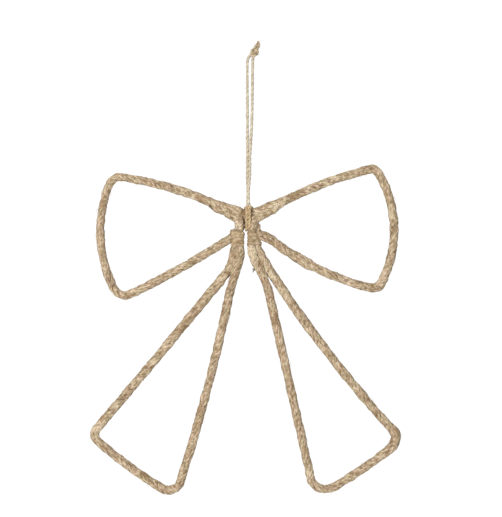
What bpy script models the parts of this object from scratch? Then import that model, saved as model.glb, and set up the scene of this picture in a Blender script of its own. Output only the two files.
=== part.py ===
# Bow ornament: bent wire wound with jute, on a hanging loop of jute twine
# Metres, +Z up. The bow lies in the XZ plane and its front faces -Y.
# The origin is the hanging point, inside the top of the twine loop, just under its knot.

import math
import random
from collections import namedtuple

import bmesh
import bpy
from mathutils import Matrix, Vector

# Where the middle of the bow hangs, seen from the hanging point
HANG_DROP = 0.0770
HANG_ASIDE = 0.0004

# Widths over the wound jute
LOOP_ROD = 0.0043
TAIL_ROD = 0.0045
SHOULDER_ROD = 0.0032      # loop wire where it shares its winding with the tail's end
TAIL_TIP = 0.0021          # very end of the tail wire, laid under the shoulder
BOUND_ROD = 0.0029         # tail wire where it is bound to something else
CROWDED_ROD = 0.0037       # legs just under the lashing, where they press together
UNEVEN = 0.05              # how far hand winding strays, as a share of the width
GAP = 0.0003               # clearance between pieces that touch

# Loops: corners seen from the middle of the bow, and how much each corner is rounded
LEFT_TOP_OUT, LEFT_TOP_UP = 0.0704, 0.0197
LEFT_LOW_OUT, LEFT_LOW_DOWN = 0.0685, 0.0453
LEFT_TOP_ROUND, LEFT_LOW_ROUND = 0.0056, 0.0096
RIGHT_TOP_OUT, RIGHT_TOP_UP = 0.0652, 0.0240
RIGHT_LOW_OUT, RIGHT_LOW_DOWN = 0.0669, 0.0401
RIGHT_TOP_ROUND, RIGHT_LOW_ROUND = 0.0052, 0.0068
LEFT_SHOULDER, RIGHT_SHOULDER = 0.0172, 0.0158    # how far a tail's end runs along the arm
LEFT_ARM_RISE, RIGHT_ARM_RISE = 16.7, 18.6        # degrees, near the middle
SHOULDER_TAPER = 0.0040    # over which an arm takes its full width again
LEFT_ARM_END_DOWN, RIGHT_ARM_END_DOWN = 0.0108, 0.0099    # where the lower arms reach the lashings
RIGHT_KNEE_OUT, RIGHT_KNEE_DOWN = 0.0086, 0.0120    # slight bend in the right lower arm, by its lashing
KNEE_ROUND = 0.0025
VEE_ROUND = 0.0030
# How far each edge of a loop bows outwards, in degrees at its ends
LEFT_LOWER_BOW, LEFT_OUTER_BOW, LEFT_UPPER_BOW = 4, 23, 7.6
RIGHT_UPPER_BOW, RIGHT_OUTER_BOW, RIGHT_LOWER_BOW = 6.7, 27, 12.4

# Tails: foot corners seen from the middle of the bow
LEFT_INNER_OUT, LEFT_INNER_DOWN = 0.0368, 0.1423
LEFT_OUTER_OUT, LEFT_OUTER_DOWN = 0.0794, 0.1113
LEFT_INNER_ROUND, LEFT_OUTER_ROUND = 0.0082, 0.0046
RIGHT_INNER_OUT, RIGHT_INNER_DOWN = 0.0330, 0.1430
RIGHT_OUTER_OUT, RIGHT_OUTER_DOWN = 0.0759, 0.1137
RIGHT_INNER_ROUND, RIGHT_OUTER_ROUND = 0.0112, 0.0068
# How far each edge of a tail bows anticlockwise, in degrees at its ends
LEFT_INNER_LEG_BOW, LEFT_FOOT_BOW, LEFT_OUTER_LEG_BOW = 3.0, 5.3, -0.6
RIGHT_INNER_LEG_BOW, RIGHT_FOOT_BOW, RIGHT_OUTER_LEG_BOW = 0.3, -4.5, 4.8

# Lashings
LASHING_TOP = 0.0085       # below the middle of the bow
LASHING_HEIGHT = 0.0080
LASHING_WALL = 0.00045
LASHING_TURNS = 6
LEFT_TWIST = 35            # degrees that the pair of legs is turned, outer leg to the back
RIGHT_TWIST = 51

# Twine
TWINE = 0.0013
TWINE_PASS = 0.0016        # where the twine goes through between the tails, left of the middle
KNOT_WIDTH, KNOT_HEIGHT, KNOT_DEPTH = 0.0042, 0.0046, 0.0040
KNOT_ASIDE, KNOT_UP = 0.0020, 0.0031
END_LENGTH = 0.0064        # free ends of the twine above the middle of the knot

# Fineness
RING_STEP = 0.0027
CORNER_STEP = 14           # degrees between rings on a round corner

MM = 0.001
Corner = namedtuple("Corner", "place rounding width")
MIDDLE = Vector((-HANG_ASIDE, 0, -HANG_DROP))


def clear_scene():
    for thing in list(bpy.data.objects):
        bpy.data.objects.remove(thing)


def collection(name):
    group = bpy.data.collections.new(name)
    bpy.context.scene.collection.children.link(group)
    return group


def jute(name, red, green, blue):
    material = bpy.data.materials.new(name)
    material.use_nodes = True
    shader = material.node_tree.nodes["Principled BSDF"]
    shader.inputs["Base Color"].default_value = (red, green, blue, 1)
    shader.inputs["Roughness"].default_value = 0.9
    shader.inputs["Metallic"].default_value = 0.0
    return material


def in_bow(out, depth, up):
    """A place given from the middle of the bow: out to +X, depth to +Y, up to +Z"""
    return MIDDLE + Vector((out, depth, up))


# Rods

def turned(way, degrees):
    """The way turned in the bow's plane, anticlockwise as the front is seen"""
    return Matrix.Rotation(math.radians(-degrees), 3, "Y") @ way


def arc_points(start, start_way, end, end_way, shares):
    """Points on the stretch that leaves start and reaches end in the given ways"""
    span = (end - start).length
    turn = start_way.angle(end_way)
    if turn < 0.001:
        handle = span / 3
    else:
        handle = span * 2 / 3 * math.tan(turn / 4) / math.sin(turn / 2)
    lead, trail = start + start_way * handle, end - end_way * handle
    points = []
    for t in shares:
        s = 1 - t
        points.append(start * s**3 + lead * 3 * s * s * t + trail * 3 * s * t * t + end * t**3)
    return points


def rod_stations(corners, bows):
    """(point, width) stations along bowed edges and round corners; a bow is in degrees"""
    stations = []
    last_end = last_way = None
    for before, after, bow in zip(corners, corners[1:], bows):
        along = (after.place - before.place).normalized()
        start = before.place + along * before.rounding
        end = after.place - along * after.rounding
        start_way, end_way = turned(along, bow), turned(along, -bow)
        if stations and before.rounding:
            count = max(2, math.ceil(math.degrees(last_way.angle(start_way)) / CORNER_STEP))
            shares = [step / count for step in range(1, count)]
            for point in arc_points(last_end, last_way, start, start_way, shares):
                stations.append((point, before.width))
        count = max(1, round((end - start).length / RING_STEP))
        skipped = 1 if stations and not before.rounding else 0
        shares = [step / count for step in range(skipped, count + 1)]
        for share, point in zip(shares, arc_points(start, start_way, end, end_way, shares)):
            stations.append((point, before.width + (after.width - before.width) * share))
        last_end, last_way = end, end_way
    return stations


def hand_wound(stations, full_width, seed, lumps):
    """Widths that stray as hand winding does where the rod stands free, and swell at its lumps"""
    chance = random.Random(seed)
    wound = []
    for point, width in stations:
        if width >= full_width:
            width *= 1 + chance.uniform(-UNEVEN, UNEVEN)
            for place, reach, extra in lumps:
                width *= 1 + extra * max(0, 1 - ((point - place).length / reach) ** 2)
        wound.append((point, width))
    return wound


def tube(name, stations, material, group):
    """A curve object whose points carry their own widths, with filled caps"""
    curve = bpy.data.curves.new(name, "CURVE")
    curve.dimensions = "3D"
    curve.bevel_depth = 0.5
    curve.bevel_resolution = 2
    curve.use_fill_caps = True
    spline = curve.splines.new("POLY")
    spline.points.add(len(stations) - 1)
    for spot, (point, width) in zip(spline.points, stations):
        spot.co = (*point, 1)
        spot.radius = width
    curve.materials.append(material)
    rod = bpy.data.objects.new(name, curve)
    group.objects.link(rod)
    return rod


def as_mesh(curve_object, group):
    """The same shape as a mesh object, with its caps joined on"""
    name = curve_object.name
    bpy.context.view_layer.update()
    evaluated = curve_object.evaluated_get(bpy.context.evaluated_depsgraph_get())
    mesh = bpy.data.meshes.new_from_object(evaluated)
    place = curve_object.matrix_world.copy()
    bpy.data.objects.remove(curve_object)
    shape = bmesh.new()
    shape.from_mesh(mesh)
    bmesh.ops.remove_doubles(shape, verts=shape.verts, dist=0.00001)
    shape.to_mesh(mesh)
    shape.free()
    solid = bpy.data.objects.new(name, mesh)
    solid.matrix_world = place
    group.objects.link(solid)
    return solid


def boolean(target, tool, operation):
    change = target.modifiers.new(operation.lower(), "BOOLEAN")
    change.operation = operation
    change.object = tool


# Places that several pieces share

def leg_places(side):
    """Where a tail's inner and outer legs stand inside the lashing, seen from above"""
    twist = math.radians(LEFT_TWIST if side < 0 else RIGHT_TWIST)
    clear = TWINE / 2 + GAP + LASHING_WALL + GAP + BOUND_ROD / 2
    spacing = BOUND_ROD + GAP
    inner_out = -TWINE_PASS + side * clear
    front = -spacing * math.sin(twist) / 2
    inner = (inner_out, front)
    outer = (inner_out + side * spacing * math.cos(twist), -front)
    return inner, outer


# Loops of the bow

LOOP_VEE = (-0.0007, 0.0, 0.0002)


def arm_places(side):
    """Ends of the shoulder and of its taper on an upper arm, and the way the arm runs there"""
    rise = LEFT_ARM_RISE if side < 0 else RIGHT_ARM_RISE
    length = LEFT_SHOULDER if side < 0 else RIGHT_SHOULDER
    way = turned(Vector((side, 0, 0)), rise * side)
    vee = in_bow(*LOOP_VEE)
    return vee + way * length, vee + way * (length + SHOULDER_TAPER), way


def loop_half(side):
    """Corners of one loop, from its shoulder outwards and back to the lashing"""
    if side < 0:
        top, top_round = in_bow(-LEFT_TOP_OUT, 0, LEFT_TOP_UP), LEFT_TOP_ROUND
        low, low_round = in_bow(-LEFT_LOW_OUT, 0, -LEFT_LOW_DOWN), LEFT_LOW_ROUND
        end_down = LEFT_ARM_END_DOWN
        knee = []
    else:
        top, top_round = in_bow(RIGHT_TOP_OUT, 0, RIGHT_TOP_UP), RIGHT_TOP_ROUND
        low, low_round = in_bow(RIGHT_LOW_OUT, 0, -RIGHT_LOW_DOWN), RIGHT_LOW_ROUND
        end_down = RIGHT_ARM_END_DOWN
        knee = [Corner(in_bow(RIGHT_KNEE_OUT, 0, -RIGHT_KNEE_DOWN), KNEE_ROUND, LOOP_ROD)]
    shoulder, taper_end, way = arm_places(side)
    outer_x, outer_y = leg_places(side)[1]
    return [Corner(shoulder, 0, SHOULDER_ROD),
            Corner(taper_end, 0, LOOP_ROD),
            Corner(top, top_round, LOOP_ROD),
            Corner(low, low_round, LOOP_ROD),
            *knee,
            Corner(in_bow(outer_x, outer_y, -end_down), 0, LOOP_ROD)]


def bow_loops(group, cutters, material):
    middle = Corner(in_bow(*LOOP_VEE), VEE_ROUND, SHOULDER_ROD)
    corners = loop_half(-1)[::-1] + [middle] + loop_half(1)
    straight = [0] * 4
    bows = ([LEFT_LOWER_BOW, LEFT_OUTER_BOW, LEFT_UPPER_BOW] + straight
            + [RIGHT_UPPER_BOW, RIGHT_OUTER_BOW, RIGHT_LOWER_BOW, 0])
    lumps = [(in_bow(0.0270, 0, -0.0225), 0.0070, 0.28), (in_bow(0.0650, 0, -0.0362), 0.0060, 0.25)]
    stations = hand_wound(rod_stations(corners, bows), LOOP_ROD, 3, lumps)
    loops = as_mesh(tube("bow_loops", stations, material, group), group)
    for side in (-1, 1):
        boolean(loops, arm_end_cutter(side, cutters), "DIFFERENCE")
    return loops


# Lashings

def lashing_outline(side, radius, sides=8):
    """Points round the two legs at a radius, as seen from above"""
    inner, outer = leg_places(side)
    inner, outer = Vector((*inner, 0)), Vector((*outer, 0))
    across = (outer - inner).normalized()
    facing = Vector((-across.y, across.x, 0))
    points = []
    for centre, start in ((outer, -90), (inner, 90)):
        for step in range(sides + 1):
            angle = math.radians(start + 180 * step / sides)
            points.append(centre + across * radius * math.cos(angle) + facing * radius * math.sin(angle))
    return points


def arm_end_cutter(side, cutters):
    """Solid with the lashing's outer shape and the clearance, which trims the lower arm's end"""
    name = "arm_end_cutter_left" if side < 0 else "arm_end_cutter_right"
    radius = BOUND_ROD / 2 + GAP + LASHING_WALL + GAP
    flat = bpy.data.curves.new(name, "CURVE")
    flat.dimensions = "2D"
    flat.fill_mode = "BOTH"
    flat.extrude = LASHING_HEIGHT
    spline = flat.splines.new("POLY")
    points = lashing_outline(side, radius)
    spline.points.add(len(points) - 1)
    for spot, point in zip(spline.points, points):
        spot.co = (*point, 1)
    spline.use_cyclic_u = True
    block = bpy.data.objects.new(name, flat)
    block.location = in_bow(0, 0, -LASHING_TOP - LASHING_HEIGHT / 2)
    cutters.objects.link(block)
    block = as_mesh(block, cutters)
    block.hide_render = True
    block.display_type = "WIRE"
    return block


def lashing(name, side, group, material):
    """A ring of twine turns round the two legs: a ridged wall swept round the outline"""
    wall = bpy.data.curves.new(name + "_wall", "CURVE")
    wall.dimensions = "2D"
    profile = wall.splines.new("POLY")
    turn = LASHING_HEIGHT / LASHING_TURNS
    outline = [(0, LASHING_HEIGHT / 2), (0, -LASHING_HEIGHT / 2)]
    for index in range(LASHING_TURNS):
        low = -LASHING_HEIGHT / 2 + index * turn
        outline += [(LASHING_WALL * 0.6, low + turn * 0.05), (LASHING_WALL, low + turn * 0.5)]
    outline.append((LASHING_WALL * 0.6, LASHING_HEIGHT / 2 - turn * 0.05))
    outline.reverse()
    profile.points.add(len(outline) - 1)
    for spot, (out, up) in zip(profile.points, outline):
        spot.co = (out, up, 0, 1)
    profile.use_cyclic_u = True
    wall_object = bpy.data.objects.new(name + "_wall", wall)
    group.objects.link(wall_object)

    path = bpy.data.curves.new(name, "CURVE")
    path.dimensions = "3D"
    path.twist_mode = "Z_UP"
    path.bevel_mode = "OBJECT"
    path.bevel_object = wall_object
    spline = path.splines.new("POLY")
    points = lashing_outline(side, BOUND_ROD / 2 + GAP)
    spline.points.add(len(points) - 1)
    for spot, point in zip(spline.points, points):
        spot.co = (*point, 1)
    spline.use_cyclic_u = True
    path.materials.append(material)
    ring = bpy.data.objects.new(name, path)
    ring.location = in_bow(0, 0, -LASHING_TOP - LASHING_HEIGHT / 2)
    group.objects.link(ring)
    ring = as_mesh(ring, group)
    bpy.data.objects.remove(wall_object)
    return ring


# Tails

TAIL_HIP = {-1: (-0.0089, -0.0016, -0.0365), 1: (0.0088, -0.0016, -0.0360)}
INNER_BEND_DOWN = {-1: 0.0215, 1: 0.0220}
OUTER_BEND = {-1: (-0.0094, 0.0020, -0.0268), 1: (0.0080, 0.0019, -0.0258)}
OUTER_TOP_UP = {-1: 0.0010, 1: 0.0030}     # how far the outer leg's end stands above the lashing


def shoulder_end(side):
    """The tail's end under the arm's shoulder, and the bend where it turns down"""
    shoulder, taper_end, way = arm_places(side)
    below = turned(way, -90 * side)
    start = shoulder + below * ((SHOULDER_ROD + TAIL_TIP) / 2 + GAP)
    under = shoulder + below * ((SHOULDER_ROD + BOUND_ROD) / 2 + GAP)
    inner_x, inner_y = leg_places(side)[0]
    bend = under - way * ((under.x - MIDDLE.x - inner_x) / way.x)
    bend.y = inner_y
    return start, bend


def through_lashing(place, lead):
    """Corners of a leg that goes down through its lashing, from a lead above it"""
    return [Corner(in_bow(*place, lead - LASHING_TOP), 0, BOUND_ROD),
            Corner(in_bow(*place, -LASHING_TOP - LASHING_HEIGHT), 0, BOUND_ROD)]


def tail(name, side, group, material):
    inner, outer = leg_places(side)
    start, shoulder = shoulder_end(side)
    if side < 0:
        foot_in = Corner(in_bow(-LEFT_INNER_OUT, 0, -LEFT_INNER_DOWN), LEFT_INNER_ROUND, TAIL_ROD)
        foot_out = Corner(in_bow(-LEFT_OUTER_OUT, 0, -LEFT_OUTER_DOWN), LEFT_OUTER_ROUND, TAIL_ROD)
        bows = [LEFT_INNER_LEG_BOW, LEFT_FOOT_BOW, LEFT_OUTER_LEG_BOW]
        lumps = []
    else:
        foot_in = Corner(in_bow(RIGHT_INNER_OUT, 0, -RIGHT_INNER_DOWN), RIGHT_INNER_ROUND, TAIL_ROD)
        foot_out = Corner(in_bow(RIGHT_OUTER_OUT, 0, -RIGHT_OUTER_DOWN), RIGHT_OUTER_ROUND, TAIL_ROD)
        bows = [RIGHT_INNER_LEG_BOW, RIGHT_FOOT_BOW, RIGHT_OUTER_LEG_BOW]
        lumps = [(foot_out.place, 0.0080, 0.28)]
    corners = [Corner(start, 0, TAIL_TIP), Corner(shoulder, 0.0036, BOUND_ROD)]
    corners += through_lashing(inner, 0)
    corners += [Corner(in_bow(*inner, -INNER_BEND_DOWN[side]), 0.0022, CROWDED_ROD),
                Corner(in_bow(*TAIL_HIP[side]), 0.006, TAIL_ROD * 0.97),
                foot_in, foot_out,
                Corner(in_bow(*OUTER_BEND[side]), 0.004, CROWDED_ROD)]
    corners += through_lashing(outer, OUTER_TOP_UP[side])[::-1]
    bows = [0] * 5 + bows + [0] * 2
    stations = hand_wound(rod_stations(corners, bows), TAIL_ROD * 0.97, 7 + side, lumps)
    return tube(name, stations, material, group)


# Twine

def smooth(points, per_stretch):
    """Points read from a smooth curve through the route's own points"""
    ends = [points[0] * 2 - points[1]] + points + [points[-1] * 2 - points[-2]]
    route = []
    for a, b, c, d in zip(ends, ends[1:], ends[2:], ends[3:]):
        for step in range(per_stretch):
            t = step / per_stretch
            route.append((b * 2 + (c - a) * t + (a * 2 - b * 5 + c * 4 - d) * t * t
                          + (b * 3 - a - c * 3 + d) * t**3) / 2)
    route.append(points[-1])
    return route


# Millimetres from the hanging point, and millimetres from the middle of the bow
LEFT_STRAND_TOP = [(-0.1, 0, 1.45), (-1.15, 0, 0.4), (-1.5, 0, -3), (-1.5, 0, -18), (-1.45, 0, -34)]
LEFT_STRAND_LOW = [(-1.1, 0.2, 30), (-1.15, 0.25, 20), (-0.6, 0.8, 11), (-0.95, -0.1, 6.4),
                   (-1.1, -1.6, 3.5), (-1.1, -2.9, 0.7), (-1.15, -3.2, -3.6), (-1.4, -3.0, -6.6),
                   (-1.6, -1.2, -7.8), (-1.6, 1.2, -7.7), (-1.8, 2.7, -5.6), (-1.8, 2.7, -1.2),
                   (-2.2, 2.2, 2.0), (-2.2, 0.1, 3.5), (-1.7, -2.2, 4.0)]
HITCH_FRONT = [(-0.35, -3.15, 4.2)]
RIGHT_STRAND_LOW = [(0.95, -2.4, 4.2), (1.5, 0.1, 3.9), (1.3, 2.1, 2.4), (0.7, 2.7, -1.0),
                    (-0.5, 2.6, -4.0), (-1.6, 1.3, -5.8), (-1.6, -1.3, -6.0), (-0.7, -3.5, -5.1),
                    (0.1, -4.1, -2.6), (0.35, -3.0, 0.8), (0.25, -1.7, 3.5), (-0.15, -1.4, 6.4),
                    (-0.3, -0.7, 11), (0.15, -0.25, 20), (0.2, -0.2, 30)]
RIGHT_STRAND_TOP = [(0.65, 0, -34), (1.0, 0, -18), (1.2, 0, -3), (1.4, 0, 0.45)]


def hanging_loop(group, material):
    from_top = [Vector(point) * MM for point in LEFT_STRAND_TOP]
    hitch = [in_bow(*(Vector(point) * MM)) for point in LEFT_STRAND_LOW + HITCH_FRONT + RIGHT_STRAND_LOW]
    to_top = [Vector(point) * MM for point in RIGHT_STRAND_TOP]
    route = smooth(from_top + hitch + to_top, 2)
    return tube("hanging_loop", [(point, TWINE) for point in route], material, group)


def hanging_knot(group, cutters, material):
    """The knot's body with two free ends side by side"""
    middle = Vector((KNOT_ASIDE, 0, KNOT_UP))
    bpy.ops.mesh.primitive_uv_sphere_add(segments=14, ring_count=9, radius=0.5, location=middle)
    knot = bpy.context.object
    knot.name = "hanging_knot"
    knot.scale = (KNOT_WIDTH, KNOT_DEPTH, KNOT_HEIGHT)
    knot.rotation_euler.y = math.radians(25)
    bpy.ops.object.transform_apply(location=False, rotation=True, scale=True)
    knot.data.materials.append(material)
    for home in list(knot.users_collection):
        home.objects.unlink(knot)
    group.objects.link(knot)
    rise = Vector((math.sin(math.radians(24)), 0, math.cos(math.radians(24))))
    aside = Vector((rise.z, 0, -rise.x))
    for index, (sway, length) in enumerate(((-1, END_LENGTH), (1, END_LENGTH * 0.93))):
        offset = aside * sway * (TWINE + GAP) / 2
        route = [middle + offset * 0.6, middle + rise * length / 2 + offset,
                 middle + rise * length + offset * 1.1]
        end = tube(f"knot_end_{index}", [(point, TWINE) for point in smooth(route, 3)], material, cutters)
        end = as_mesh(end, cutters)
        end.hide_render = True
        end.display_type = "WIRE"
        boolean(knot, end, "UNION")
    return knot


clear_scene()
parts = collection("bow_ornament")
cutters = collection("cutters")
wound_jute = jute("wound jute", 0.474, 0.356, 0.235)
lashed_jute = jute("lashing jute", 0.451, 0.337, 0.209)
pale_twine = jute("jute twine", 0.558, 0.503, 0.386)
bow_loops(parts, cutters, wound_jute)
tail("left_tail", -1, parts, wound_jute)
tail("right_tail", 1, parts, wound_jute)
lashing("left_lashing", -1, parts, lashed_jute)
lashing("right_lashing", 1, parts, lashed_jute)
hanging_loop(parts, pale_twine)
hanging_knot(parts, cutters, pale_twine)
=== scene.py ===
import math

import bpy
import numpy as np
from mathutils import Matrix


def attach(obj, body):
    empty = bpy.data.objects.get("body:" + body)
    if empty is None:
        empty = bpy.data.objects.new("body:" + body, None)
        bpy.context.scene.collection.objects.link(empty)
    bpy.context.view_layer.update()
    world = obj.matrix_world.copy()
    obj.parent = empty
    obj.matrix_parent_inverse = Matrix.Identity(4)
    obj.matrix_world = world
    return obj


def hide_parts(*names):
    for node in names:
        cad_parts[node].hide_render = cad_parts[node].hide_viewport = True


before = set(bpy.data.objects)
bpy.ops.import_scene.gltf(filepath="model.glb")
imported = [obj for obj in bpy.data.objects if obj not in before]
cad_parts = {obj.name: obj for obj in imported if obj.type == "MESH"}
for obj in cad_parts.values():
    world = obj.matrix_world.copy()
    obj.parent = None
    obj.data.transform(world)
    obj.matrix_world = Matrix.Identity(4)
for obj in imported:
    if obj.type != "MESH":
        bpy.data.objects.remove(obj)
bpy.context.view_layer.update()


# Studio
# A long lens looks square at the front of the bow, which hangs clear of a matt white paper floor in
# a white room. A small softbox stands left of the camera, weaker ones stand right of it and behind
# the bow, and a large one hangs overhead.

def linear(hex_colour):
    """An sRGB hex colour as linear red, green, blue and alpha"""
    channels = [int(hex_colour[i:i + 2], 16) / 255 for i in (1, 3, 5)]
    return [c / 12.92 if c <= 0.04045 else ((c + 0.055) / 1.055) ** 2.4 for c in channels] + [1]


def add(tree, kind, settings=(), links=()):
    """One node: settings by attribute or input, and links as input: (node, output)"""
    node = tree.nodes.new(kind)
    for name, value in dict(settings).items():
        if isinstance(name, str) and name not in node.inputs:
            setattr(node, name, value)
        else:
            node.inputs[name].default_value = value
    for name, (source, output) in dict(links).items():
        tree.links.new(source.outputs[output], node.inputs[name])
    return node


bpy.context.scene.view_settings.view_transform = "Standard"
lens, frame_height, distance_to_bow = 100, 0.2585, 0.718
picture_middle_x, picture_middle_z = 0.00035, -0.0995
bpy.ops.object.camera_add(location=(picture_middle_x, -distance_to_bow, picture_middle_z),
                          rotation=(math.radians(90), 0, 0))
camera = bpy.context.object
camera.data.lens = lens
camera.data.sensor_width = lens * frame_height / distance_to_bow
camera.data.clip_start, camera.data.clip_end = 0.01, 20
bpy.context.scene.camera = camera

floor_radius, floor_height = 0.9, -0.4
bpy.ops.mesh.primitive_circle_add(vertices=96, radius=floor_radius, fill_type="NGON",
                                  location=(0, 0, floor_height))
floor = bpy.context.object
floor.name = "floor"
paper = bpy.data.materials.new("matt white paper")
paper.use_nodes = True
shader = paper.node_tree.nodes["Principled BSDF"]
shader.inputs["Base Color"].default_value = linear("#f6f6f6")
shader.inputs["Roughness"].default_value = 0.9
floor.data.materials.append(paper)

# The camera sees the room's walls white, and they give the bow a little light from all sides
world = bpy.data.worlds.new("white studio")
bpy.context.scene.world = world
world.use_nodes = True
tree = world.node_tree
sky = tree.nodes["Background"]
sky.inputs["Color"].default_value = (1, 1, 1, 1)
ray = add(tree, "ShaderNodeLightPath")
light_on_bow, white_in_camera = 0.17, 1.05
strength = add(tree, "ShaderNodeMapRange", {"To Min": light_on_bow, "To Max": white_in_camera},
               {"Value": (ray, "Is Camera Ray")})
tree.links.new(strength.outputs["Result"], sky.inputs["Strength"])

# Each softbox's place, what it points at, its side in metres and its power in watts
softboxes = (("key softbox", (-0.45, -1.0, 0.2), (0, 0, -0.1), 0.45, 11.5),
             ("fill softbox", (0.8, -0.7, -0.1), (0, 0, -0.1), 0.6, 1.4),
             ("back softbox", (0.5, 1.1, 0.3), (0, 0, -0.1), 0.8, 5),
             ("top softbox", (0, 0.3, 1.4), (0, 0, -0.4), 1.2, 12))
for name, place, aim, size, power in softboxes:
    bpy.ops.object.light_add(type="AREA", location=place)
    light = bpy.context.object
    light.name = name
    light.data.size = size
    light.data.energy = power
    back = np.array(place) - np.array(aim)
    light.rotation_euler = (math.acos(back[2] / np.linalg.norm(back)), 0, math.atan2(back[0], -back[1]))


# Hanging twine
# Thin two-ply jute twine, undyed and pale. It is hitched round the middle of the bow: both
# strands come down behind a crossbar, pass in front of the bow, and go round it to the back.
# Lengths here and below are in millimetres, and a mesh is turned into metres when it is made.

def smooth_line(points, step):
    """A smooth curve through the points, read at equal steps"""
    p = np.array(points, float)
    p = np.vstack([2 * p[0] - p[1], p, 2 * p[-1] - p[-2]])
    t = np.linspace(0, 1, 24, endpoint=False)[:, None]
    runs = [(2 * b + (c - a) * t + (2 * a - 5 * b + 4 * c - d) * t**2 + (3 * b - a - 3 * c + d) * t**3) / 2
            for a, b, c, d in zip(p, p[1:], p[2:], p[3:])]
    return even_line(np.vstack(runs + [p[-2:-1]]), step)


def even_line(line, step):
    """The same line with its points at equal steps; further columns go along"""
    gone = np.concatenate([[0], np.cumsum(np.linalg.norm(np.diff(line[:, :3], axis=0), axis=1))])
    at = np.linspace(0, gone[-1], max(2, round(gone[-1] / step)) + 1)
    return np.stack([np.interp(at, gone, column) for column in line.T], axis=1)


def directions(line):
    """The line's own direction at each point, of length 1"""
    way = np.gradient(line, axis=0)
    return way / np.linalg.norm(way, axis=1)[:, None]


def rolling_frame(line, first):
    """Two directions square to the line at each point, that turn as little as they can"""
    way = directions(line)
    side = np.array(first, float)
    sides = []
    for w in way:
        side = side - w * side.dot(w)
        side /= np.linalg.norm(side)
        sides.append(side)
    sides = np.array(sides)
    return sides, np.cross(way, sides)


def round_the_line(line, across, out, radius, turn):
    """Rings of points round the line, at a radius for each point and share of a turn"""
    angle = 2 * math.pi * turn
    return (line[:, None, :] + across[:, None, :] * (radius * np.cos(angle))[:, :, None]
            + out[:, None, :] * (radius * np.sin(angle))[:, :, None])


def drift(chance, down, turn, cells):
    """Smooth random values from -1 to 1 at places down a sheet and round it (in turns, seamless)"""
    values = chance.uniform(-1, 1, (math.ceil(down.max()) + 3, cells))
    y, x = down + 0 * turn, (turn + 0 * down) % 1 * cells
    i, j = y.astype(int), x.astype(int) % cells
    fy, fx = y - i, x - x.astype(int)
    fy, fx = fy * fy * (3 - 2 * fy), fx * fx * (3 - 2 * fx)
    k = (j + 1) % cells
    return ((values[i, j] * (1 - fx) + values[i, k] * fx) * (1 - fy)
            + (values[i + 1, j] * (1 - fx) + values[i + 1, k] * fx) * fy)


def hair(root, way, up, bend, length, lift, thick):
    """Rings of one thin three-sided hair that leaves the surface along a bent path and tapers"""
    t = np.linspace(0, 1, 6)[:, None]
    curve = root + way * length * t + up * length * lift * t * (1.2 - 0.5 * t) + bend * length * t * t
    around = np.array([0, 2, 4]) * math.pi / 3
    ring = np.cos(around)[None, :, None] * up + np.sin(around)[None, :, None] * np.cross(up, way)
    return curve[:, None, :] + ring * (thick * (1 - 0.6 * t))[:, :, None]


def fibre_ends(line, across, out, radius, lay, count, long, depth, tone, seed):
    """Loose fibre ends that stand off the surface all over, each in the lay of its place"""
    chance = np.random.default_rng(seed)
    reach = radius.mean(axis=1)
    # Each end is rooted inside the surface, and most lie nearly flat on it
    root_depth, bend_spread, flat_share, flattened = 0.86, 0.35, 0.6, 0.4
    ends = []
    for _ in range(count):
        spot = chance.integers(3, len(line) - 3)
        angle = chance.uniform(0, 2 * math.pi)
        up = across[spot] * math.cos(angle) + out[spot] * math.sin(angle)
        root = line[spot] + up * reach[spot] * root_depth
        way = np.cross(across[spot], out[spot]) * chance.choice([-1, 1])
        bend = np.cross(up, way) * chance.normal(0, bend_spread)
        length = long * chance.uniform(0.35, 1)
        lift = chance.uniform(0.15, 0.75) * (flattened if chance.random() < flat_share else 1)
        end = hair(root, way, up, bend, length, lift, chance.choice([0.04, 0.05, 0.08]))
        around = end.shape[:2]
        ends.append((end, np.broadcast_to(lay[spot, 0], end.shape),
                     np.full(around, depth), np.full(around, tone)))
    return ends


def skin(rings):
    """Points and quads of a tube through the rings, with capped ends"""
    count, around = rings.shape[:2]
    index = np.arange(count * around).reshape(count, around)
    ahead = np.roll(index, -1, axis=1)
    quads = np.stack([index[:-1], ahead[:-1], ahead[1:], index[1:]], axis=-1).reshape(-1, 4).tolist()
    return rings.reshape(-1, 3), quads + [index[0][::-1].tolist(), index[-1].tolist()]


def jute_mesh(name, parts, *materials):
    """One mesh object in metres from parts in mm: rings, and the lay, depth and tone at each point"""
    points, faces, lays, depths, tones, first = [], [], [], [], [], 0
    for rings, lay, depth, tone in parts:
        spots, sides = skin(rings)
        points.append(spots)
        faces += [[corner + first for corner in side] for side in sides]
        lays.append(lay.reshape(-1, 3))
        depths.append(depth.reshape(-1))
        tones.append(tone.reshape(-1))
        first += len(spots)
    mesh = bpy.data.meshes.new(name)
    mesh.from_pydata((np.vstack(points) / 1000).tolist(), [], faces)
    mesh.attributes.new("lay", "FLOAT_VECTOR", "POINT").data.foreach_set("vector", np.vstack(lays).ravel())
    mesh.attributes.new("depth", "FLOAT", "POINT").data.foreach_set("value", np.concatenate(depths))
    mesh.attributes.new("tone", "FLOAT", "POINT").data.foreach_set("value", np.concatenate(tones))
    mesh.shade_smooth()
    for material in materials:
        mesh.materials.append(material)
    piece = bpy.data.objects.new(name, mesh)
    bpy.context.scene.collection.objects.link(piece)
    return piece


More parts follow.
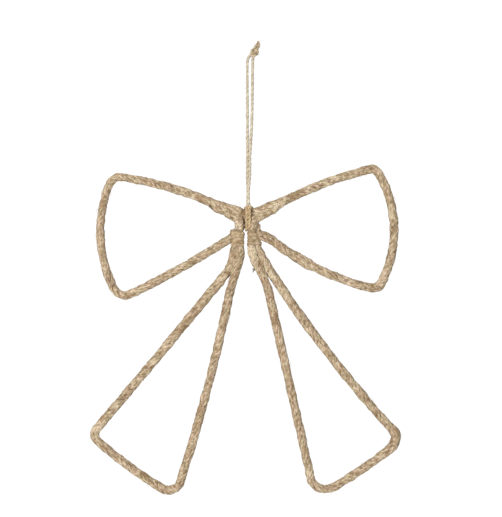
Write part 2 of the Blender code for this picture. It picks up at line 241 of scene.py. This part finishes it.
def two_ply(line, width, seed, fibres, first=(0, 1, 0), swell=1.0):
    """Rings of a twisted two-ply twine along a line, and its loose fibres"""
    chance = np.random.default_rng(seed)
    sides, twist_length, fibre_length = 16, 5.0, width * 1.7
    across, out = rolling_frame(line, first)
    gone = (np.arange(len(line)) * np.linalg.norm(line[1] - line[0]))[:, None]
    turn = np.arange(sides)[None, :] / sides
    lay_turn = turn - gone / twist_length + 0.04 * drift(chance, gone / 3, turn, 3)

    # The section is a figure of eight that turns, thicker and thinner as hand-spun yarn is
    waist, belly, slubs, roughness, thick_and_thin = 0.68, 0.34, 0.10, 0.07, 0.08
    ply = np.abs(np.cos(2 * math.pi * lay_turn))
    radius = width / 2 * (waist + belly * ply ** 0.8)
    radius = radius * (1 + slubs * drift(chance, gone / 1.6, lay_turn, 5)
                       + roughness * drift(chance, gone / 0.6, turn, 8)
                       + thick_and_thin * drift(chance, gone / 7, 0 * turn, 3))
    radius = radius * np.broadcast_to(swell, len(line))[:, None]
    rings = round_the_line(line, across, out, radius, turn)

    # A fibre in a ply turns half as fast again as the ply does
    fibre = 3 * math.pi * lay_turn
    lay = np.stack([radius * np.cos(fibre), radius * np.sin(fibre), gone + 0 * radius], axis=-1)
    # Depth is low at the waist between the plies, where the material paints shade
    depth = np.clip(0.15 + ply, 0, 1)
    tone = 0.5 + 0.5 * drift(chance, gone / 4, lay_turn, 3)
    return [(rings, lay, depth, tone)] + fibre_ends(line, across, out, radius, lay, fibres, fibre_length,
                                                    0.9, 0.7, seed + 50)


# The last colour is painted shade down between the strands, and also the colour of the bark specks
def jute(name, dark, middle, light, shade_and_bark):
    """Jute fibre: matt, in clumps and streaks of uneven colour, with shade painted dark down between the
    strands
    """
    material = bpy.data.materials.new(name)
    material.use_nodes = True
    tree = material.node_tree
    shader = tree.nodes["Principled BSDF"]
    # A Mix node's colour sockets go by number, because others share their names
    mix_a, mix_b, mix_result = 6, 7, 2
    lay, depth, tone = [add(tree, "ShaderNodeAttribute", {"attribute_name": attribute})
                        for attribute in ("lay", "depth", "tone")]

    def noise(per_mm, detail, roughness=0.5, offset=(0, 0, 0)):
        """Noise in the lay of the fibre: cells a millimetre across it, out of it and along it"""
        place = add(tree, "ShaderNodeMapping", {"Scale": per_mm, "Location": offset},
                    {"Vector": (lay, "Vector")})
        return add(tree, "ShaderNodeTexNoise", {"Scale": 1, "Detail": detail, "Roughness": roughness},
                   {"Vector": (place, "Vector")})

    def blend(first, second, share):
        """The first value with a share of the second"""
        return add(tree, "ShaderNodeMix", {"data_type": "FLOAT", "Factor": share}, {"A": first, "B": second})

    def ramp(source, *stops):
        """Colours by value, from stops in rising order"""
        node = add(tree, "ShaderNodeValToRGB", links={"Fac": source})
        for place, colour in stops[1:-1]:
            node.color_ramp.elements.new(place)
        for element, (place, colour) in zip(node.color_ramp.elements, stops):
            element.position, element.color = place, linear(colour)
        return node

    # Clumps 0.9 mm wide and 2 mm long, single fibres 0.15 mm wide, and batches 10 mm long
    clumps = noise((1.1, 1.1, 0.5), 2)
    fibres = noise((6.5, 6.5, 0.8), 2, roughness=0.6)
    batches = noise((0.2, 0.2, 0.1), 2)
    mixed = blend((clumps, "Fac"), (fibres, "Fac"), 0.22)
    mixed = blend((mixed, "Result"), (batches, "Fac"), 0.12)
    mixed = blend((mixed, "Result"), (tone, "Fac"), 0.06)
    fibre_colour = ramp((mixed, "Result"), (0.375, dark), (0.5, middle), (0.625, light))

    # Retted fibre turns from pinkish tan to yellowish straw every few millimetres
    patches = noise((0.4, 0.4, 0.25), 2, offset=(7, 3, 5))
    tint = ramp((patches, "Fac"), (0.38, "#fff6f0"), (0.62, "#f8f9ea"))
    tinted = add(tree, "ShaderNodeMix", {"data_type": "RGBA", "blend_type": "MULTIPLY", "Factor": 1},
                 {mix_a: (fibre_colour, "Color"), mix_b: (tint, "Color")})

    # Shade is painted dark deep between the strands, and the specks of bark 0.5 mm across are dark too
    shade = add(tree, "ShaderNodeMapRange", {"From Min": 0, "From Max": 0.7, "To Min": 0.95, "To Max": 0},
                {"Value": (depth, "Fac")})
    bark = noise((1.3, 1.3, 0.9), 1, offset=(2, 9, 4))
    specks = add(tree, "ShaderNodeMapRange", {"From Min": 0.6, "From Max": 0.7, "To Min": 0, "To Max": 0.65},
                 {"Value": (bark, "Fac")})
    darker = add(tree, "ShaderNodeMath", {"operation": "MAXIMUM"},
                 {0: (shade, "Result"), 1: (specks, "Result")})
    colour = add(tree, "ShaderNodeMix", {"data_type": "RGBA", mix_b: linear(shade_and_bark)},
                 {"Factor": (darker, "Value"), mix_a: (tinted, mix_result)})
    tree.links.new(colour.outputs[mix_result], shader.inputs["Base Color"])

    bump = add(tree, "ShaderNodeBump", {"Strength": 0.8, "Distance": 0.0004}, {"Height": (mixed, "Result")})
    tree.links.new(bump.outputs["Normal"], shader.inputs["Normal"])
    shader.inputs["Roughness"].default_value = 0.9
    shader.inputs["IOR"].default_value = 1.5
    shader.inputs["Sheen Weight"].default_value = 0.05
    shader.inputs["Sheen Roughness"].default_value = 0.5
    return material


bow_middle = np.array([-0.4, 0, -77.0])
twine_width, twine_step = 1.3, 0.2
# From the middle of the bow: from the crossbar round the right of the hitch and up
right_strand = [(-0.5, -2.6, 4.2), (0.75, -2.3, 3.0), (1.3, 0.1, 2.7), (1.2, 2.1, 2.0), (0.7, 2.7, -1.0),
                (-0.5, 2.6, -4.0), (-1.4, 1.3, -6.2), (-1.1, -1.3, -7.8), (-0.2, -2.9, -7.2),
                (0.1, -3.5, -4.0), (0.1, -2.9, 0.8), (-0.1, -1.9, 3.5), (-0.5, -1.4, 6.4), (-0.5, -0.7, 11),
                (0.15, -0.25, 20), (0.25, -0.2, 30)]
# From the hanging point: up the right strand, through the knot, down the left
over_top = [(0.65, 0, -34), (1.0, 0, -18), (1.15, 0, -3), (1.35, 0, 0.6), (2.2, 0.3, 2.4), (1.3, 0.4, 3.6),
            (0.3, 0.1, 2.7), (-0.35, 0, 1.7), (-1.15, 0, 0.3), (-1.5, 0, -3), (-1.5, 0, -18), (-1.45, 0, -34)]
# From the middle of the bow: down, round the left of the hitch and back into the crossbar
left_strand = [(-1.1, 0.2, 30), (-1.15, 0.25, 20), (-0.85, 0.8, 11), (-0.95, -0.1, 6.4), (-1.1, -1.6, 3.5),
               (-1.3, -2.7, 0.7), (-1.35, -3.2, -3.6), (-1.4, -3.0, -7.2), (-1.5, -1.2, -8.2),
               (-1.6, 1.2, -7.9), (-1.8, 2.7, -5.6), (-1.8, 2.7, -1.2), (-2.1, 2.1, 1.8), (-2.15, 0.1, 2.6),
               (-1.7, -2.1, 2.9), (-0.5, -2.6, 4.2)]
twine_line = smooth_line([bow_middle + p for p in right_strand] + [np.array(p) for p in over_top]
                         + [bow_middle + p for p in left_strand], twine_step)

# The twine's own swell makes up for its waist, and it spreads where it is pressed against the bow
hitch_top, spread_over, own_swell, pressed_swell = 2.2, 1.5, 1.17, 0.12
pressed = (np.clip((bow_middle[2] + hitch_top - twine_line[:, 2]) / spread_over, 0, 1)
           * np.clip(-twine_line[:, 1] / spread_over, 0, 1))
# Undyed jute spun from combed fibre; where the hitch lies down in the winding, its shade is painted on as a
# browner colour
pale_twine = jute("undyed jute twine", "#b3a793", "#d1c7b6", "#e9e3d6", "#8c7e69")
hitch_shade_twine = jute("jute twine with painted hitch shade", "#9d8463", "#c6ae8a", "#e5d2b0", "#6e5537")
hanging_loop = jute_mesh("twine_loop", two_ply(twine_line, twine_width, 11, 220, first=(0, 0, 1),
                                               swell=own_swell + pressed_swell * pressed),
                         pale_twine, hitch_shade_twine)
hitch_shade_up_to = 3.8
hitch_shade_top = (bow_middle[2] + hitch_shade_up_to) / 1000
# Faces low in the hitch take the browner colour, which is painted shade
for face in hanging_loop.data.polygons:
    face.material_index = int(face.center.z < hitch_shade_top)


# Knot
# A tight overhand knot in the same twine, which closes the loop. Its two ends are cut short
# and stand up side by side, a little frayed.

knot_middle = np.array([2.0, 0, 3.4])
knot_width, knot_step = 1.75, 0.18
# The path of an overhand knot whose two ends meet
knot_across, knot_deep, knot_up = 0.5, 0.8, 0.54
t = np.linspace(0, 2 * math.pi, 60)
knot_path = np.stack([(np.sin(t) + 2 * np.sin(2 * t)) * knot_across, np.sin(3 * t) * knot_deep,
                      (np.cos(t) - 2 * np.cos(2 * t)) * knot_up], axis=1)
tilt = math.radians(25)
tilted = np.array([[math.cos(tilt), 0, math.sin(tilt)], [0, 1, 0], [-math.sin(tilt), 0, math.cos(tilt)]])
knot_line = smooth_line(knot_path @ tilted.T + knot_middle, knot_step)
knot_parts = two_ply(knot_line, knot_width, 23, 30)

end_width, end_lean = 1.45, math.radians(24)
rise = np.array([math.sin(end_lean), 0, math.cos(end_lean)])
aside = np.array([rise[2], 0, -rise[0]])
for side, length in ((-1, 6.1), (1, 5.4)):
    end_line = smooth_line([knot_middle + aside * side * 0.5,
                            knot_middle + rise * length * 0.5 + aside * side * 0.6,
                            knot_middle + rise * length + aside * side * 0.4], knot_step)
    thinning = np.linspace(1.15, 0.8, len(end_line))
    knot_parts += two_ply(end_line, end_width, 31 + side, 26, swell=thinning)
# The same twine, darker because it is handled
knot_twine = jute("knotted jute twine", "#9c8b72", "#bfad92", "#dccdb5", "#77664c")
hanging_knot = jute_mesh("twine_knot", knot_parts, knot_twine)
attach(hanging_knot, "root")
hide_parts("hanging_knot")
# The loop is stated after the knot, which is a piece on it
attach(hanging_loop, "root")
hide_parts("hanging_loop")


# Loops of the bow
# One bent wire under a wrapping of rough brown jute, wound by hand in slanting turns, which
# leaves bumps, notches and loose fibre ends. The shoulders are wound over two wires.

def rod_line(corners, bows):
    """Points and widths along bowed edges and round corners (place, rounding, width); bows in degrees"""
    def bend(way, degrees):
        a = math.radians(degrees)
        return np.array([way[0] * math.cos(a) - way[2] * math.sin(a), way[1],
                         way[0] * math.sin(a) + way[2] * math.cos(a)])

    def arc(start, leaving, end, reaching, count, width_from, width_to):
        turned = math.acos(max(-1, min(1, leaving.dot(reaching))))
        span = np.linalg.norm(end - start)
        handle = span / 3 if turned < 0.001 else span * 2 / 3 * math.tan(turned / 4) / math.sin(turned / 2)
        t = np.linspace(0, 1, count + 1)[:, None]
        s = 1 - t
        points = (start * s**3 + (start + leaving * handle) * 3 * s * s * t
                  + (end - reaching * handle) * 3 * s * t * t + end * t**3)
        return np.hstack([points, width_from + (width_to - width_from) * t])

    runs = []
    last_end = None
    for (here, rounding, width), (there, next_rounding, next_width), bow in zip(corners, corners[1:], bows):
        here, there = np.array(here, float), np.array(there, float)
        along = (there - here) / np.linalg.norm(there - here)
        start, end = here + along * rounding, there - along * next_rounding
        leaving, reaching = bend(along, bow), bend(along, -bow)
        if last_end is not None and rounding:
            runs.append(arc(*last_end, start, leaving, 16, width, width)[1:-1])
        edge = arc(start, leaving, end, reaching, 40, width, next_width)
        # A sharp corner's point already ends the edge before it
        runs.append(edge if rounding or last_end is None else edge[1:])
        last_end = end, reaching
    return np.vstack(runs)


def wound(line, high, deep, seed, fibres, lumps, stains_and_painted_light):
    """Rings of a wound rod: half widths in the bow's plane and in depth at each point of the line"""
    chance = np.random.default_rng(seed)
    # Four bands side by side go once round the rod in 13 mm, and the fibres in them once in 50 mm
    sides, bands, band_lead, fibre_lead, fibre_length = 48, 4, 13.0, 50, 4.5
    step = np.linalg.norm(line[1] - line[0])
    gone = (np.arange(len(line)) * step)[:, None]
    way = directions(line)
    across = np.cross(way, (0, 1, 0))
    across /= np.linalg.norm(across, axis=1)[:, None]
    out = np.cross(way, across)
    turn = np.arange(sides)[None, :] / sides
    angle = 2 * math.pi * turn

    # Which band each point lies on, how far across it, and how far along it in turns
    wound_turns = np.cumsum(step / (band_lead * (1 + 0.35 * drift(chance, gone / 14, 0 * gone, 3))), axis=0)
    place = bands * (wound_turns - turn) + 0.3 * drift(chance, gone / 4, turn, 4) + bands * 2
    band = np.floor(place)
    over = place - band
    which = (band % bands) / bands
    along = band // bands + turn

    def of_band(rate):
        """A drift of its own for each band, at so many cells a turn"""
        return drift(chance, along * rate, which, bands)

    # Every band is a little crowned and uneven, and here and there a gap opens between two. Lumps
    # and humps are about 3 mm wide, the rough ones 1 to 2 mm. All heights are in millimetres.
    band_base, band_crown, band_swell, band_tilt, gap_depth = 0.04, 0.03, 0.05, 0.06, 0.4
    lump_height, hump_height, rough_height = 0.12, 0.12, 0.28
    crown = (4 * over * (1 - over)) ** 0.55
    notch = np.clip(1.7 * of_band(4) - 0.25, 0, 1.1)
    groove = (1 - np.sin(math.pi * over)) ** 3.5
    fibre_turn = turn - gone / fibre_lead
    high, deep = high[:, None], deep[:, None]
    radius = high * deep / np.sqrt((deep * np.cos(angle)) ** 2 + (high * np.sin(angle)) ** 2)
    radius = radius * (1 + 0.04 * drift(chance, gone / 7, 0 * turn, 3))
    radius = (radius - band_base + band_crown * crown + band_swell * of_band(2.3)
              + band_tilt * (over - 0.5) * of_band(1.7))
    radius = (radius - gap_depth * groove * notch
              + hump_height * drift(chance, gone / 2.4, turn + gone / 40, 5))
    rough = (0.6 * drift(chance, gone / 2.0, turn + gone / 40, 8)
             + 0.4 * drift(chance, gone / 1.2, fibre_turn, 14))
    radius = radius + rough_height * rough + lump_height * drift(chance, gone / 3.2, turn, 5)

    # Both ends are rounded off, and lumps swell the rod round their places
    rounded_over, smallest = 1.8, 0.05
    from_end = np.minimum(gone, gone[-1] - gone) + smallest
    radius = radius * np.sqrt(1 - (1 - np.clip(from_end / rounded_over, 0, 1)) ** 2)
    for spot, reach, extra in lumps:
        near = np.clip(1 - (np.linalg.norm(line - np.array(spot), axis=1) / reach) ** 2, 0, 1)
        radius = radius * (1 + extra * near[:, None])
    rings = round_the_line(line, across, out, radius, turn)

    fibre = 2 * math.pi * fibre_turn
    lay = np.stack([radius * np.cos(fibre), radius * np.sin(fibre), gone + 0 * radius], axis=-1)
    # Depth is low down in the gaps between bands, where the material paints shade
    depth = np.clip(0.8 - 0.9 * groove * np.minimum(notch, 1) + 0.6 * rough, 0, 1)
    tone = 0.5 + 0.5 * of_band(3.5)
    # The marks lighten or darken the tone: the jute's own stains, and painted highlights and shade
    for spot, reach, change in stains_and_painted_light:
        away = np.linalg.norm(rings - np.array(spot), axis=2)
        tone = tone + 0.6 * change * np.clip(1 - away / reach, 0, 1)
    return [(rings, lay, depth, tone)] + fibre_ends(line, across, out, radius, lay, fibres, fibre_length,
                                                    0.8, 0.6, seed + 90)


def from_bow_middle(marks):
    """The same marks, with places from the hanging point instead of the bow's middle"""
    return [(bow_middle + place, reach, amount) for place, reach, amount in marks]


def dark_end(root, way, aside, length, lift, thick, depth):
    """One thick dark fibre end on the front of the bow, bent aside"""
    end = hair(bow_middle + root, np.array(way), np.array([0, -1.0, 0]), np.array([0, 0, aside]),
               length, lift, thick)
    around = end.shape[:2]
    return end, end, np.full(around, depth), np.zeros(around)


rod_step = 0.28
# From the middle of the bow: each corner's place, rounding and width, anticlockwise on the left
loop_corners = [((-6.5, 0.4, -10.4), 0, 4.3), ((-68.5, 0, -45.3), 9.6, 4.2), ((-70.4, 0, 19.7), 5.6, 4.2),
                ((-21.0, 0, 6.3), 0, 4.3), ((-17.2, 0, 5.15), 0, 4.3), ((-0.7, 0, 0.2), 3.0, 4.3),
                ((14.3, 0, 5.25), 0, 4.3), ((18.1, 0, 6.5), 0, 4.3), ((65.2, 0, 24.0), 5.2, 4.3),
                ((66.9, 0, -40.1), 6.8, 4.3), ((8.6, 0.3, -12.0), 2.5, 4.5), ((3.2, 0.8, -9.6), 0, 4.6)]
loop_bows = [4, 23, 7.6, 0, 0, 0, 0, 6.7, 27, 12.4, 0]
line = even_line(rod_line(loop_corners, loop_bows), rod_step)

# The shoulders, where the arms are wound together with the tails' ends, are thicker and lie lower
middle_at = np.argmin(np.linalg.norm(line[:, :3] - np.array([-0.7, 0, 0.6]), axis=1))
from_middle = (np.arange(len(line)) - middle_at) * rod_step
shoulder_length, left_taper, right_taper = 21, 7, 13
shoulder = np.where(from_middle < 0, np.clip((from_middle + shoulder_length) / left_taper, 0, 1),
                    np.clip((shoulder_length - from_middle) / right_taper, 0, 1.15))
shoulder = shoulder * shoulder * (3 - 2 * shoulder)
down = np.cross(directions(line[:, :3]), (0, 1, 0))
down *= -np.sign(down[:, 2:3] + 1e-9)
shoulder_drop, shoulder_extra_high, shoulder_extra_deep = 1.45, 0.95, 0.1
route = line[:, :3] + down * (shoulder_drop * shoulder)[:, None] + bow_middle
half_width = line[:, 3] / 2
high = half_width + shoulder_extra_high * shoulder
deep = half_width + shoulder_extra_deep * shoulder

# Where more jute has gathered or, beside the hitch, is pinched: place, reach and share of the width
loop_lumps = [((27, 0, -22.5), 7, 0.2), ((65, 0, -36.2), 6, 0.18), ((11.0, 0, 4.0), 3.5, 0.16),
              ((-9, 0, 2), 5, 0.08), ((9.5, 0, -12.4), 4, 0.12), ((-3.0, 0, -0.5), 1.5, -0.2),
              ((1.6, 0, -0.5), 1.5, -0.2)]
# Paler and darker places on the jute, its own uneven tone and also painted shade in the gaps beside the
# hitch: place, reach, and how much lighter or darker it is
loop_stains_and_painted_light = [((4, -2.4, -0.5), 3, 3), ((14, -2.4, 3.4), 4, 3), ((23.6, -1.5, 9.6), 5, -3),
               ((4.4, -1.5, -4), 3, -4), ((-12, 0, 7.2), 5, -5), ((40.5, -1.5, 16.5), 5, 3.5),
               ((10, 0, 6.8), 4, -4), ((-24, -1.5, 6.6), 4, -2.5), ((-6.5, -2, 1.5), 4, 2.5),
               ((-2.9, -2, 3.2), 2.5, -6), ((-2.7, -2, 0), 2.5, -7), ((66, -1.5, -32), 5, 2),
               ((49, -1.5, -34), 4, 3), ((44, -1.5, -29), 5, -2.5)]
loop_parts = wound(route, high, deep, 5, 600, from_bow_middle(loop_lumps), from_bow_middle(loop_stains_and_painted_light))
# The end of the winding shows as a small dark knob low on the left shoulder
for aside in (-0.35, 0, 0.35):
    loop_parts.append(dark_end((-20.2, -1.9, 3.9 + aside), (0.86, 0, -0.5), aside, 1.6, 0.15, 0.5, 0.2))
# Coarse jute roving, unbleached, wound dry round the wire
brown_jute = jute("wound brown jute", "#907759", "#b4a087", "#d8c8b2", "#543c22")
bow_loops = jute_mesh("wound_loops", loop_parts, brown_jute)
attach(bow_loops, "root")
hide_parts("bow_loops")


# Tails
# Each is one bent wire, wound like the loops. It comes out of a shoulder, goes down through the
# lashing, along the inner leg, the slanting foot and the outer leg, and ends in the lashing.

left_corners = [((-13.0, 0, 0.6), 0, 3.2), ((-4.8, -0.7, -2.1), 3.2, 5.4), ((-4.7, -0.8, -7.6), 0, 4.9),
                ((-4.7, -0.7, -9.2), 0, 3.3), ((-4.6, -0.6, -15.6), 0, 3.3), ((-4.7, -0.6, -17.4), 0, 4.5),
                ((-5.0, -0.5, -21.5), 2.2, 5.2), ((-8.9, -1.2, -36.5), 6, 4.4),
                ((-36.8, 0, -142.3), 8.2, 4.4), ((-79.4, 0, -111.3), 4.6, 4.4),
                ((-9.2, 0.7, -27.0), 4, 4.9), ((-7.4, 0.3, -17.4), 0, 4.5), ((-7.3, 0.4, -15.6), 0, 3.3),
                ((-7.2, 0.5, -7.4), 0, 3.4)]
left_bows = [0, 0, 0, 0, 0, 0, 0, 3.0, 5.3, -0.6, 0, 0, 0]
# The left tail's marks hold a painted highlight on its neck and painted shade between the neck and the hitch,
# besides the jute's own uneven tone
left_stains_and_painted_light = [((-6.4, -3, -6.0), 5, 5), ((-2.6, -1.8, -3.5), 2.4, -9), ((-2.5, -1.8, -7), 2.2, -9),
               ((-52, -1.5, -129.5), 4, -5), ((-24.5, -1.5, -98.5), 4, -4), ((-34.5, -1.5, -57.5), 6, -2.5),
               ((-26.5, -1.5, -85), 7, 2.5), ((-75, -1.5, -108), 5, 3)]

right_corners = [((11.0, 0, 0.8), 0, 3.2), ((1.7, -0.8, -2.6), 3.2, 4.9), ((1.2, -1.0, -7.6), 0, 4.6),
                 ((1.1, -0.9, -9.2), 0, 3.3), ((1.1, -0.8, -15.6), 0, 3.3), ((1.2, -0.8, -17.4), 0, 4.7),
                 ((2.1, -0.5, -21.5), 2.2, 5.4), ((8.8, -1.2, -36), 6, 4.4),
                 ((33.0, 0, -143.0), 11.2, 4.4), ((75.9, 0, -113.7), 6.8, 4.4),
                 ((8.0, 0.7, -25.8), 4, 4.9), ((4.1, 0.3, -17.4), 0, 4.6), ((3.7, 0.4, -15.6), 0, 3.3),
                 ((3.8, 0.7, -8.6), 0, 3.3), ((3.8, 0.7, -4.8), 0, 4.0)]
right_bows = [0, 0, 0, 0, 0, 0, 0, 0.3, -4.5, 4.8, 0, 0, 0, 0]
right_lumps = [((75.9, 0, -113.7), 9, 0.2)]
right_stains = [((1.5, -3, -20), 6, 4), ((9.3, -1, -30), 4, 4), ((13, -1.5, -52), 5, -3),
                ((30, -1.5, -130), 7, 2.5), ((62, -1.5, -101), 5, -3), ((-0.9, -1.5, -14), 3, -3)]
# A small dark tuft stands off the right inner leg on its left: each end's height and its bend
tuft = [dark_end((3.7, -1.2, -27.7 + up), (-1, 0, 0.2 * aside), aside, 2.2, 0.2, 0.42, 0)
        for up, aside in ((0.5, -0.3), (0.1, -0.6), (-0.3, -0.1), (0.3, -0.9), (-0.1, 0.1))]

for name, seed, corners, bows, lumps, stains_and_painted_light, more in (
        ("left_tail", 40, left_corners, left_bows, (), left_stains_and_painted_light, []),
        ("right_tail", 41, right_corners, right_bows, right_lumps, right_stains, tuft)):
    line = even_line(rod_line(corners, bows), rod_step)
    half_width = line[:, 3] / 2
    parts = wound(line[:, :3] + bow_middle, half_width, half_width, seed, 420, from_bow_middle(lumps),
                  from_bow_middle(stains_and_painted_light))
    tail = jute_mesh(name + "_wound", parts + more, brown_jute)
    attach(tail, "root")
    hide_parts(name)


# Lashings
# Almost five slanting turns of flat jute roving round the two legs of each tail, drawn tight.
# They hold the legs and the end of the loop's lower arm together.

# The same roving as on the wires, drawn out flat
lashing_jute = jute("lashing of brown jute", "#917858", "#b49e81", "#d6c5ac", "#543b21")
lashing_top, lashing_height, lashing_turns, lashing_step = -9.0, 7.0, 4.8, 0.22
leg_reach, half_tall, half_thin, lashing_sides = 1.9, 0.86, 0.5, 14
slip_aside, slip_along = 0.012, 0.16
for name, inner, outer, seed in (("left_lashing", (-4.65, -0.7), (-7.37, 0.7), 61),
                                 ("right_lashing", (1.05, -0.8), (3.66, 0.8), 67)):
    # Seen from above, the roving goes half round the outer leg, then half round the inner one, a
    # little unevenly as a hand lays it
    inner, outer = np.array(inner), np.array(outer)
    apart = (outer - inner) / np.linalg.norm(outer - inner)
    facing = np.array([-apart[1], apart[0]])
    chance = np.random.default_rng(seed)
    outline = []
    for leg, start in ((outer, -90), (inner, 90)):
        for degrees in range(start, start + 181, 30):
            a = math.radians(degrees)
            outline.append(leg + leg_reach * (apart * math.cos(a) + facing * math.sin(a)))
    picks = int(lashing_turns * len(outline))
    path = []
    for i in range(picks):
        x, y = outline[i % len(outline)] * (1 + chance.normal(0, slip_aside))
        path.append((x, y, lashing_top - lashing_height * i / picks + chance.normal(0, slip_along)))
    line = smooth_line(np.array(path) + bow_middle, lashing_step)
    out = rolling_frame(line, (0, 0, 1))[1]
    gone = (np.arange(len(line)) * lashing_step)[:, None]
    turn = np.arange(lashing_sides)[None, :] / lashing_sides
    angle = 2 * math.pi * turn
    swell = (1 + 0.25 * drift(chance, gone / 5, 0 * turn, 3) + 0.18 * drift(chance, gone / 1.5, turn, 6)
             + 0.14 * drift(chance, gone / 0.7, turn, 8))
    tall, thin = half_tall * swell * np.cos(angle), half_thin * swell * np.sin(angle)
    rings = line[:, None, :] + np.array([0, 0, 1.0]) * tall[:, :, None] + out[:, None, :] * thin[:, :, None]
    lay = np.stack([tall, thin, gone + 0 * tall], axis=-1)
    # The roving's edges lie deep, next to the turns above and below, and shade is painted on them there
    depth = np.clip(1.25 - np.abs(np.cos(angle)) ** 2 + 0.25 * drift(chance, gone / 2, turn, 9), 0, 1)
    tone = 0.5 + 0.5 * drift(chance, gone / 5, turn, 3)
    lashing = jute_mesh(name + "_turns", [(rings, lay, depth, tone)], lashing_jute)
    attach(lashing, "root")
    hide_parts(name)
